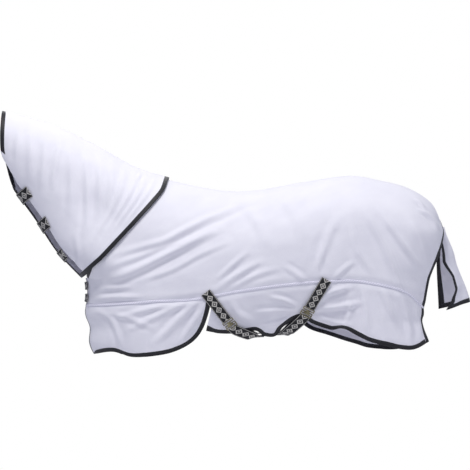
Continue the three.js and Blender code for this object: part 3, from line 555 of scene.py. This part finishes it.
# -------------------- shoulder and quarter skirts
# The lower parts of the rug, sewn into the piped side seam: the shoulder skirt hangs in front of the
# front surcingle, and the quarter skirt from there to the tail. The far quarter hangs a little lower.
shoulder_hem = smooth_line([
    (-330, -807), (-240, -795), (-150, -820), (-28, -808), (60, -781), (130, -740), (172, -680), (196, -600),
    (204, -538),
])
quarter_front_line = smooth_line([(212, -530), (205, -600), (186, -680), (170, -740)])
quarter_hems = {
    near: smooth_line([
        (180, -692), (230, -712), (320, -714), (408, -706), (450, -733), (506, -734), (545, -680),
        (614, -640), (680, -672), (759, -697), (829, -690), (958, -751), (1114, -788), (1206, -756),
    ]),
    far: smooth_line([
        (180, -716), (230, -724), (320, -720), (408, -710), (450, -733), (506, -734), (545, -690),
        (610, -668), (688, -713), (877, -764), (964, -792), (1080, -800), (1206, -760),
    ]),
}
shoulder_edge = inset(shoulder_hem, mesh_in, left_hand)
shoulder_run = between(shoulder_edge, chest_edge, seam_bottom)
split = round((len(shoulder_run) - 1) * 0.66)
shoulder_patch = patch(
    between(seam_bottom, chest_edge, shoulder_edge), shoulder_run[: split + 1],
    between(chest_edge, seam_bottom, shoulder_edge), shoulder_run[split:][::-1],
    np.linspace(0, 1, 91) ** 1.4, np.linspace(0, 1, 41),
)
for side, label, relief in both_sides:
    points = on_horse(side, shoulder_patch, relief(shoulder_patch))
    shoulder = fly_sheet(f"{label}_shoulder_mesh", f"{label}_shoulder_skirt", points, side)
    hem_edge = inset(quarter_hems[side], mesh_in, left_hand)
    quarter_patch = patch(
        between(seam_bottom, quarter_front_line, rear_edge),
        between(hem_edge, quarter_front_line, rear_edge),
        between(quarter_front_line, seam_bottom, hem_edge), between(rear_edge, seam_bottom, hem_edge),
        np.linspace(0, 1, 161), np.linspace(0, 1, 37),
    )
    quarter_points = on_horse(side, quarter_patch, relief(quarter_patch))
    quarter = fly_sheet(f"{label}_quarter_mesh", f"{label}_quarter_skirt", quarter_points, side)

# -------------------- side seams
# White piping: a cord in a bias strip of the same cloth, sewn into the seam between the body panels and
# the skirts. It stands proud, and the stitching draws the cloth in on both sides of it.
woven_tape, tree, shader = new_material("woven_polyester_seam_tape")
tape_map = add_node(tree, "ShaderNodeUVMap", uv_map="cloth").outputs[0]
twist = bands(tree, tape_map, 0.006, "DIAGONAL")
tape_tone = blend(tree, twist, linear("e2e0ee"), linear("f6f5ff"))
ink(shader, Base_Color=tape_tone, Roughness=0.7, Normal=bump(tree, twist, 0.4, 0.001), Sheen_Weight=0.2)


def tape_on(side, outer, inner, steps, relief, layer=0.0, spread=1.0, across=5, lift=0.0):
    """Points of a tape between two pattern lines that run side by side."""
    t = np.linspace(0, 1, steps + 1) ** spread
    a, b = along(outer, t), along(inner, t)
    places = a[None] + (b - a)[None] * np.linspace(0, 1, across)[:, None, None]
    return on_horse(side, places, layer + lift + relief(places))


piping_width, piping_thickness = 9, 6
for side, label, relief in both_sides:
    above = between(inset(side_seam, piping_width / 2, left_hand), chest_edge, rear_edge)
    under = between(inset(side_seam, piping_width / 2, right_hand), chest_edge, rear_edge)
    points = tape_on(side, above, under, 320, relief, spread=1.3, lift=2.4)
    sheet_object(
        f"{label}_seam_piping", f"{label}_side_piping", points, woven_tape, piping_thickness,
        "body_rug", side == far, bevel=2.0,
    )

# -------------------- spine and crest seams
# A white tape inside each seam along the top of the horse, taped flat over the raw edges so that they
# don't rub: one from the withers to the dock, one up the crest of the neck cover.
face_far_line = smooth_line([(-781, 312), (-782, 211), (-772, 121), (-742, 20), (-715, -40)])
face_near_line = smooth_line([(-781, 312), (-780, 211), (-772, 121), (-738, 58), (-700, -8), (-684, -60)])
neck_layer = 11.7
neck_rear_edge = inset(neck_rear_line, mesh_in, right_hand)
seam_tape_width = 24
spine_run = between(
    top_line, inset(neckline, mesh_start + 6, left_hand), inset(rear_line, mesh_start, right_hand)
)
crest_run = between(
    top_line, inset(face_far_line, mesh_start, left_hand), inset(neck_rear_line, mesh_start, right_hand)
)
for name, line, layer, body, node in (
    ("spine_tape", spine_run, -3.4, "body_rug", "spine_seam_tape"),
    ("crest_tape", crest_run, neck_layer - 3.4, "neck_cover", "crest_seam_tape"),
):
    edge = inset(line, seam_tape_width / 2, right_hand)
    halves = []
    for side, outs in ((near, (1, 0.66, 0.33)), (far, (0, 0.33, 0.66, 1))):
        for out in outs:
            row = on_horse(side, line + (edge - line) * out**2, np.full(len(line), float(layer)))
            row[:, 1] *= 1 if out else 0
            halves.append(row)
    sheet_object(name, node, np.array(halves), woven_tape, 1.4, body, True)

# -------------------- neck cover
# Two panels of the same mesh joined along the crest. The near panel stops short of the throat, and the
# tabs bridge the gap. It lies loosely over the neckline of the body rug, in long soft creases.
neck_folds = [
    (15, 8, [(-383, 122), (-372, 0), (-368, -140), (-372, -250)]),
    (13, 6, [(-499, 195), (-512, 110), (-528, 24), (-530, -60)]),
    (16, 5, [(-640, 235), (-636, 120), (-640, 10)]),
    (14, 5, [(-570, 200), (-575, 80), (-590, -60)]),
    (15, 5, [(-450, 140), (-446, 0), (-450, -180)]),
    (14, 6, [(-318, 90), (-312, -40), (-318, -180)]),
    (13, 6, [(-262, 70), (-262, -40), (-290, -180), (-340, -290)]),
    (12, 7, [(-205, 50), (-215, -40), (-255, -150), (-320, -270)]),
    (11, 7, [(-150, 25), (-165, -50), (-215, -150), (-290, -260)]),
    (10, 7, [(-105, 10), (-125, -60), (-180, -150), (-250, -240)]),
    (8, 6, [(-60, 0), (-85, -60), (-140, -140), (-200, -215)]),
    (7, 6, [(-128, 22), (-134, 8), (-142, -12)]),
    (12, 5, [(-420, -250), (-408, -340), (-400, -410)]),
    (12, 4, [(-690, 240), (-700, 160), (-705, 80)]),
]


def neck_relief(side):
    seed = 21.3 if side == near else 27.9

    def relief(places):
        rough = 2.6 * ripple(places, 120, seed) + 1.2 * ripple(places, 45, seed + 3)
        edge = np.clip(half_width_squared(places[..., 0], places[..., 1]) / 60**2, 0.0, 1.0)
        gap, _, _ = from_line(places, neck_rear_line)
        settled = np.clip(gap / 26, 0.35, 1)
        folds = fold_heights(places, neck_folds) * (1.0 if side == near else 0.8)
        return np.maximum(-3.5, (folds + rough) * edge * settled)

    return relief


neck_reliefs = {near: neck_relief(near), far: neck_relief(far)}
near_throat_setback = 30
near_throat_line = throat_line + inwards(throat_line, left_hand) * near_throat_setback
far_throat_edge = inset(throat_line, mesh_in, left_hand)
for side, label, face_edge, throat_edge in (
    (near, "near", inset(face_near_line, 1.5, left_hand), near_throat_line),
    (far, "far", inset(face_far_line, mesh_in, left_hand), far_throat_edge),
):
    t = np.linspace(0, 1, 111)
    down = np.where(t < 0.25, 0.1 * (t / 0.25) ** 2,
                    np.where(t > 0.75, 1 - 0.1 * ((1 - t) / 0.25) ** 2, 0.1 + (t - 0.25) * 1.6))
    neck_patch = patch(
        between(top_line, face_edge, neck_rear_edge), between(throat_edge, face_edge, neck_rear_edge),
        between(face_edge, top_line, throat_edge), between(neck_rear_edge, top_line, throat_edge),
        np.linspace(0, 1, 121), down,
    )
    points = on_horse(side, neck_patch, neck_layer + neck_reliefs[side](neck_patch))
    fly_sheet(
        f"neck_cover_{label}_half", f"neck_panel_{label}", points, side, "neck_cover"
    )

# -------------------- edge binding
# Black woven binding tape, 20 mm deep, folded in half over every raw edge and stitched through near its
# inner edge. The tape has fine ribs across it and a slight sheen.
binding_tape, tree, shader = new_material("woven_black_binding_tape")
tape_map = add_node(tree, "ShaderNodeUVMap", uv_map="cloth").outputs[0]
ribs = bands(tree, tape_map, 0.003, "X")
place = add_node(tree, "ShaderNodeSeparateXYZ", {0: tape_map})
stitch_side = calc(tree, "ABSOLUTE", calc(tree, "SUBTRACT", place.outputs["Y"], 0.0165))
stitch_line = calc(tree, "LESS_THAN", stitch_side, 0.0009)
stitch_on = calc(tree, "GREATER_THAN", bands(tree, tape_map, 0.008, "X"), 0.35)
stitch = calc(tree, "MULTIPLY", stitch_line, stitch_on)
tone = blend(tree, ribs, linear("101013"), linear("1f1f24"))
thread = blend(tree, stitch, tone, linear("3a3a42"))
ink(shader, Base_Color=thread, Roughness=0.52, Normal=bump(tree, ribs, 0.35, 0.0006), Sheen_Weight=0.12,
    Specular_IOR_Level=0.35)

binding_thickness = 4.6
chest_mesh = inset(chest_line, mesh_start, left_hand)
chest_corner = inset(chest_line, mesh_start + 2 * binding_width, left_hand)


def binding_sheet(name, node, points, body, flip, thickness=binding_thickness, bevel=1.2):
    return sheet_object(name, node, points, binding_tape, thickness, body, flip, bevel)


def bind(name, node, side, line, turn, limits, steps, relief, body="body_rug", layer=0.0, spread=1.0):
    """A length of binding over one raw edge, and what it stands for."""
    outer, inner = between(line, *limits), between(inset(line, binding_width, turn), *limits)
    points = tape_on(side, outer, inner, steps, relief, layer, spread)
    return binding_sheet(name, node, points, body, (side == far) == (turn == left_hand))


hems = {near: [], far: []}
quarter_tapes = {near: [], far: []}
body_tapes = {near: [], far: []}
for side, label, relief in both_sides:
    rear_end = inset(rear_line, mesh_start, right_hand)
    for part, group, line, turn, limits, steps, spread in (
        ("neckline", body_tapes, neckline, left_hand, (top_line, chest_corner), 150, 1.6),
        ("chest", hems, chest_line, left_hand, (neckline, shoulder_hem), 90, 1.0),
        ("shoulder_hem", hems, shoulder_hem, left_hand, (chest_mesh, side_seam), 170, 1.0),
        ("rear", quarter_tapes, rear_line, right_hand, (top_line, quarter_hems[side]), 150, 1.0),
        ("quarter_hem", quarter_tapes, quarter_hems[side], left_hand, (quarter_front_line, rear_end), 280,
         1.0),
    ):
        tape = bind(f"{label}_{part}_tape", f"{label}_{part}_binding", side, line, turn, limits, steps,
                    relief, spread=spread)
        group[side].append(tape)

throat_far_edge = inset(throat_line, mesh_start, left_hand)
neck_tapes = {near: [], far: []}
rear_limits, throat_limits = (top_line, throat_line), (face_far_line, neck_rear_line)
for name, node, side, line, turn, limits, spread in (
    ("neck_rear_tape_near", "neck_rear_binding_near", near, neck_rear_line, right_hand, rear_limits, 1.6),
    ("neck_rear_tape_far", "neck_rear_binding_far", far, neck_rear_line, right_hand, rear_limits, 1.6),
    ("face_tape_far", "face_binding_far", far, face_far_line, left_hand, (top_line, throat_far_edge), 1.6),
    ("throat_tape_far", "throat_binding_far", far, throat_line, left_hand, throat_limits, 1.0),
):
    tape = bind(name, node, side, line, turn, limits, 120, neck_reliefs[side], "neck_cover", neck_layer,
                spread)
    neck_tapes[side].append(tape)

# The near face edge is turned in from the cheek down, so its binding lies behind the mesh there.
limits = (top_line, near_throat_line)
face_outer = between(face_near_line, *limits)
face_inner = between(inset(face_near_line, binding_width, left_hand), *limits)
heights = np.interp(np.linspace(0, 1, 111) ** 1.6, np.linspace(0, 1, len(face_outer)), face_outer[:, 1])
turned_in = -4.4 * smooth_step(-heights, -150, -105)
points = tape_on(near, face_outer, face_inner, 110, neck_reliefs[near], neck_layer, 1.6, lift=turned_in)
face_near = binding_sheet(
    "face_tape_near", "face_binding_near", points, "neck_cover", False, thickness=4.2, bevel=0.8
)
neck_tapes[near].append(face_near)

# -------------------- metal fittings
# Flat hook plates and slotted plates, die cast in zinc and plated a dull antique brass: the hook's tongue
# lies over the slotted plate of the strap that it fastens to. Their edges are tumbled smooth.
antique_brass, tree, shader = new_material("antique_brass_plated_zinc_die_casting")
metal_place = add_node(tree, "ShaderNodeTexCoord")
on_metal = metal_place.outputs["Object"]
tarnish = add_node(tree, "ShaderNodeTexNoise", {"Vector": on_metal, "Scale": 90.0, "Detail": 5.0})
grain = add_node(tree, "ShaderNodeTexNoise", {"Vector": on_metal, "Scale": 700.0, "Detail": 2.0})
brass_tone = add_node(tree, "ShaderNodeValToRGB", {"Fac": tarnish.outputs["Fac"]})
for k, (position, colour) in enumerate(((0.35, "5d5845"), (0.68, "a39c7e"))):
    brass_tone.color_ramp.elements[k].position = position
    brass_tone.color_ramp.elements[k].color = linear(colour)
dullness = add_node(tree, "ShaderNodeMapRange", {
    "Value": tarnish.outputs["Fac"], "To Min": 0.5, "To Max": 0.3,
})
casting = bump(tree, grain.outputs["Fac"], 0.2, 0.0004)
ink(shader, Base_Color=brass_tone.outputs[0], Metallic=0.85, Roughness=dullness.outputs[0],
    Normal=casting)

fitting_bodies = {
    "near_front_hook_plate": "front_clip", "near_rear_hook_plate": "rear_clip",
    "chest_hook_plate_upper": "upper_chest_clip", "chest_hook_plate_lower": "lower_chest_clip",
    "front_slotted_plate": "body_rug", "rear_slotted_plate": "body_rug",
    "chest_slotted_plate_upper": "body_rug", "chest_slotted_plate_lower": "body_rug",
    "front_slide_adjuster": "body_rug", "rear_slide_adjuster": "body_rug",
}
for node, body in fitting_bodies.items():
    cast = bmesh.new()
    cast.from_mesh(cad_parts[node].data)
    bmesh.ops.remove_doubles(cast, verts=cast.verts, dist=0.00001)
    bmesh.ops.dissolve_limit(cast, angle_limit=0.02, verts=cast.verts, edges=cast.edges)
    data = bpy.data.meshes.new(f"{node}_casting")
    cast.to_mesh(data)
    cast.free()
    data.materials.append(antique_brass)
    plate = bpy.data.objects.new(f"{node}_casting", data)
    scene.collection.objects.link(plate)
    edge = plate.modifiers.new("tumbled_edge", "BEVEL")
    edge.width = 0.0006
    edge.segments = 2
    edge.limit_method = "ANGLE"
    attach(plate, body)
    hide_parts(node)

# -------------------- crossed surcingles
# Black polypropylene webbing, 50 mm wide, with a light woven pattern. Each runs from its sewn end at the
# side seam down to a hook plate; its other half is sewn to the far side and crosses under the belly.
surcingle_width = 50
webbing_thickness = 2.4
lower_strap_layer = 4.2
upper_strap_layer = 7.1


def webbing_material(name, motif_pitch, half_width):
    """Woven black webbing with a row of light diamonds along its middle and a light line at each edge."""
    material, tree, shader = new_material(name)
    strap_map = add_node(tree, "ShaderNodeUVMap", uv_map="cloth").outputs[0]
    place = add_node(tree, "ShaderNodeSeparateXYZ", {0: strap_map})
    off_middle = calc(tree, "ABSOLUTE", calc(tree, "SUBTRACT", place.outputs["Y"], half_width))
    reach = calc(tree, "ADD", calc(tree, "PINGPONG", place.outputs["X"], motif_pitch / 2), off_middle)

    def band(value, low, high):
        above, below = calc(tree, "GREATER_THAN", value, low), calc(tree, "LESS_THAN", value, high)
        return calc(tree, "MULTIPLY", above, below)

    diamond = band(reach, half_width * 0.42, half_width * 0.66)
    kernel = band(reach, -1.0, half_width * 0.2)
    edge = band(off_middle, half_width * 0.88, half_width * 0.95)
    light = calc(tree, "MAXIMUM", calc(tree, "MAXIMUM", diamond, kernel), edge)
    weft = bands(tree, strap_map, 0.0025, "X")
    warp = bands(tree, strap_map, 0.004, "Y")
    weave = calc(tree, "MULTIPLY", weft, warp)
    black = blend(tree, weave, linear("0e0e10"), linear("202025"))
    pattern = blend(tree, light, black, linear("cfccc4"))
    ink(shader, Base_Color=pattern, Roughness=0.6, Normal=bump(tree, weave, 0.5, 0.0008),
        Specular_IOR_Level=0.4)
    return material


def webbing_sheet(name, node, points, material, body="body_rug"):
    return sheet_object(name, node, points, material, webbing_thickness, body, True, bevel=0.5)


surcingle_webbing = webbing_material("woven_polypropylene_surcingle_webbing", 0.034, surcingle_width / 2000)


def flowing(points, t):
    """A smooth curve through points in space, at places t along it from 0 to 1."""
    p = np.array(points, float)
    p = np.vstack([2 * p[0] - p[1], p, 2 * p[-1] - p[-2]])
    at = np.clip(t, 0, 1) * (len(points) - 1)
    i = np.minimum(at.astype(int), len(points) - 2)
    w = (at - i)[:, None]
    a, b, c, d = p[i], p[i + 1], p[i + 2], p[i + 3]
    gap = lambda m, n: np.maximum(np.linalg.norm(m - n, axis=1, keepdims=True) ** 0.5, 1e-4)
    g0, g1, g2 = gap(a, b), gap(b, c), gap(c, d)
    out = ((b - a) / g0 - (c - a) / (g0 + g1) + (c - b) / g1) * g1
    into = ((c - b) / g1 - (d - b) / (g1 + g2) + (d - c) / g2) * g1
    return (2 * b - 2 * c + out + into) * w**3 + (3 * c - 3 * b - 2 * out - into) * w**2 + out * w + b


def unit(v):
    return v / np.linalg.norm(v, axis=-1, keepdims=True)


def ribbon(stops, width, steps, across=7):
    """Webbing through stops of (point, the way its outer face looks)."""
    t = np.linspace(0, 1, steps + 1)
    path = flowing([p for p, _ in stops], t)
    forward = unit(np.gradient(path, axis=0))
    out = unit(flowing([f for _, f in stops], t))
    side = unit(np.cross(forward, out))
    return path[None] + side[None] * (np.linspace(0.5, -0.5, across) * width)[:, None, None]


def flank(side, x, z, layer):
    place = np.array([[x, z]], float)
    point, further = on_horse(side, place, layer)[0], on_horse(side, place, layer + 10.0)[0]
    return point, unit(further - point)


strap_end_gap = 1
slot_offset, slots_length, plate_drop = 20, 24, 2.9
straight_run, far_sag = 8, 20
inside_half_width, under_half_width = 170, 100
surcingles = (
    ("front", (180, -523), (279, -648), (388, -724), (420, -733), (560, -718), (737, -470), -728.4),
    ("rear", (737, -463), (659, -592), (568, -698), (540, -717), (385, -728), (180, -530), -722.0),
)
for label, top, end, hem, inside, far_hem, far_top, under_height in surcingles:
    top_at = flank(near, *top, upper_strap_layer)
    end_at = flank(near, *end, upper_strap_layer + 2 * webbing_thickness)
    waist = (np.array(top) + end) / 2
    waist_at = flank(near, *waist, upper_strap_layer + webbing_thickness)
    points = ribbon([top_at, waist_at, end_at], surcingle_width, 40)
    webbing_sheet(f"{label}_surcingle_webbing", f"near_{label}_surcingle", points, surcingle_webbing,
                  f"{label}_strap")
    down = unit(end_at[0] - waist_at[0])
    out = unit(np.cross(down, unit(np.cross(end_at[1], down))))
    web_start = (end_at[0] + down * (strap_end_gap + slot_offset + slots_length + strap_end_gap)
                 - out * plate_drop)
    far_waist = (np.array(far_top) + far_hem) / 2 - (0, far_sag)
    far_middle = flank(far, *far_waist, lower_strap_layer + 2)
    middle = (hem[0] + far_hem[0]) / 2
    stops = [
        (web_start, out), (web_start + down * straight_run, out),
        (flank(near, *hem, lower_strap_layer)[0], (0, -0.8, -0.6)),
        (np.array([inside[0], -inside_half_width, inside[1]]), (0, -0.3, -0.95)),
        (np.array([(hem[0] + middle) / 2, -under_half_width, under_height]), (0, -0.24, -0.97)),
        (np.array([middle, 0, under_height]), (0, 0, -1)),
        (np.array([(far_hem[0] + middle) / 2, under_half_width, under_height]), (0, 0.24, -0.97)),
        (flank(far, *far_hem, lower_strap_layer)[0], (0, 0.8, -0.6)), far_middle,
        flank(far, *far_top, upper_strap_layer),
    ]
    points = ribbon([(p, np.array(f, float)) for p, f in stops], surcingle_width, 170)
    webbing_sheet(f"{label}_belly_webbing", f"{label}_belly_strap", points, surcingle_webbing)

# -------------------- chest straps and throat tabs
# Narrower webbing closes the chest in two places, and three broad tabs of the same webbing close the
# throat of the neck cover: each is sewn to the far panel and pressed on to the near one.
narrow_webbing = webbing_material("woven_polypropylene_narrow_webbing", 0.026, 0.019)
tab_webbing = webbing_material("woven_polypropylene_tab_webbing", 0.04, 0.029)


def round_front(line, at, width, start, stop, layer, steps, across):
    """Points of a strap lying round a front line, from start to stop over the surface; below 0 is near."""
    length = np.linalg.norm(np.diff(line, axis=0), axis=1).sum()
    t = np.clip(at + np.linspace(-0.5, 0.5, across) * width / length, 0, 1)
    bases = along(line, t)
    share = np.linspace(0, 1, len(line))
    ways = np.stack([np.interp(t, share, w) for w in inwards(line, left_hand).T], axis=1)
    over = np.linspace(start, stop, steps + 1)
    places = np.broadcast_to(bases[:, None], (across, steps + 1, 2))
    ways = np.broadcast_to(ways[:, None], places.shape)
    depth = depth_for(places, ways, np.broadcast_to(np.abs(over), places.shape[:2]))
    points = on_horse(far, places + ways * depth[..., None], np.full(places.shape[:2], float(layer)))
    points[..., 1] *= np.where(over < 0, -1, 1)[None]
    points[:, np.abs(over) < 1, 1] = 0
    return points


chest_strap_width, chest_plate_width = 38, 46
strap_span, anchor_span = (-55, 42), (90, 135)  # from near to far, measured round the front of the chest
chest_layer = upper_strap_layer + 3.5
chest_length = np.linalg.norm(np.diff(chest_line, axis=0), axis=1).sum()
seam_share = (crossing(chest_line, side_seam)[0] - 1) / (len(chest_line) - 1)
plate_gap = (seam_share * chest_length - 2 * chest_plate_width) / 3
for label, at in (
    ("upper", (plate_gap + 0.5 * chest_plate_width) / chest_length),
    ("lower", (2 * plate_gap + 1.5 * chest_plate_width) / chest_length),
):
    points = round_front(chest_line, at, chest_strap_width, *strap_span, chest_layer, 60, 7)
    webbing_sheet(f"chest_{label}_webbing", f"chest_strap_{label}", points, narrow_webbing,
                  f"{label}_chest_strap")
    points = round_front(chest_line, at, chest_strap_width, *anchor_span, upper_strap_layer, 24, 7)
    webbing_sheet(f"chest_{label}_anchor_webbing", f"chest_anchor_strap_{label}", points, narrow_webbing)

# Nylon hook-and-loop tape: a field of tiny loops, so dull that it has no highlight. The loops are drawn
# 2 mm wide, coarser than they are.
loop_tape, tree, shader = new_material("nylon_hook_and_loop_tape")
loop_place = add_node(tree, "ShaderNodeTexCoord")
loops = add_node(tree, "ShaderNodeTexVoronoi", {"Vector": loop_place.outputs["Object"], "Scale": 500.0})
loop_tone = blend(tree, loops.outputs["Distance"], linear("2b2b2f"), linear("0c0c0e"))
ink(shader, Base_Color=loop_tone, Roughness=0.95, Normal=bump(tree, loops.outputs["Distance"], 0.8, 0.001))
tab_layer, tab_patch_layer = 17.5, 15.0
tab_width, tab_patch_width = 58, 50
tab_span, tab_patch_span = (-98, 45), (-96, -72)
for i, at in enumerate((0.1, 0.42, 0.74), start=1):
    points = round_front(throat_line, at, tab_width, *tab_span, tab_layer, 70, 11)
    webbing_sheet(f"throat_tab_{i}_webbing", f"throat_tab_{i}", points, tab_webbing, f"throat_closure_{i}")
    points = round_front(throat_line, at, tab_patch_width, *tab_patch_span, tab_patch_layer, 12, 9)
    loop = sheet_object(
        f"throat_loops_{i}", f"throat_loop_patch_{i}", points, loop_tape, 1.6, "neck_cover",
        True,
    )
for side, label in ((near, "near"), (far, "far")):
    x, z = np.meshgrid(np.linspace(-107.5, -82.5, 9), np.linspace(-52, -96, 13))
    for kind, layer, body in (("loop", 3.1, "body_rug"), ("hook", 5.2, "neck_cover")):
        points = on_horse(side, np.stack([x, z], axis=-1), np.full(x.shape, layer))
        sheet_object(
            f"withers_{kind}s_{label}", f"withers_{kind}_patch_{label}", points, loop_tape, 1.5, body,
            side == far,
        )

# -------------------- tail flap
# A shaped flap of the same mesh sewn to the dock end of the spine seam, bound on its free edges. It
# curls round the tail and flares towards its hem.
flap_half_widths = [(0, 12), (0.12, 34), (0.4, 80), (0.7, 98), (1, 105)]
flap_back = [(0, 1298), (0.4, 1346), (1, 1416)]
near_curl = [(0, 8), (0.15, 40), (0.42, 62), (0.6, 38), (0.74, 44), (0.9, 84), (1, 116)]
far_curl = [(0, 8), (0.15, 40), (0.4, 78), (1, 138)]


def on_flap(across, down):
    curl = np.where(across < 0, value_on(near_curl, down), value_on(far_curl, down))
    wave = 5 * np.sin(across * 5.2 + down * 2.0) * down + 3 * np.sin(across * 11 - 1) * down**2
    x = value_on(flap_back, down) - curl * np.abs(across) ** 2.2 + wave * (1 - 0.6 * np.abs(across))
    y = across * value_on(flap_half_widths, down)
    return np.stack([x, y, -221 - 350 * down - 38 * down * across**2], axis=-1)


across, down = np.meshgrid(np.linspace(-0.96, 0.96, 61), np.linspace(0, 0.977, 91))
flap_points = on_flap(across, down)
flap = fly_sheet("tail_flap_mesh", "tail_flap", flap_points, body="tail_flap_sheet")
for name, node, span, drop in (
    ("tail_hem_tape", "tail_flap_hem_binding", (-1, 1), (1.0, 0.943)),
    ("tail_near_tape", "tail_flap_near_binding", (-1, -0.9), (0.12, 0.96)),
    ("tail_far_tape", "tail_flap_far_binding", (1, 0.9), (0.12, 0.96)),
):
    if name == "tail_hem_tape":
        across, down = np.meshgrid(np.linspace(*span, 81), np.linspace(*drop, 5))
    else:
        across, down = np.meshgrid(np.linspace(*span, 5), np.linspace(*drop, 91), indexing="ij")
    points = on_flap(across, down)
    tape = binding_sheet(name, node, points, "tail_flap_sheet", name != "tail_near_tape")
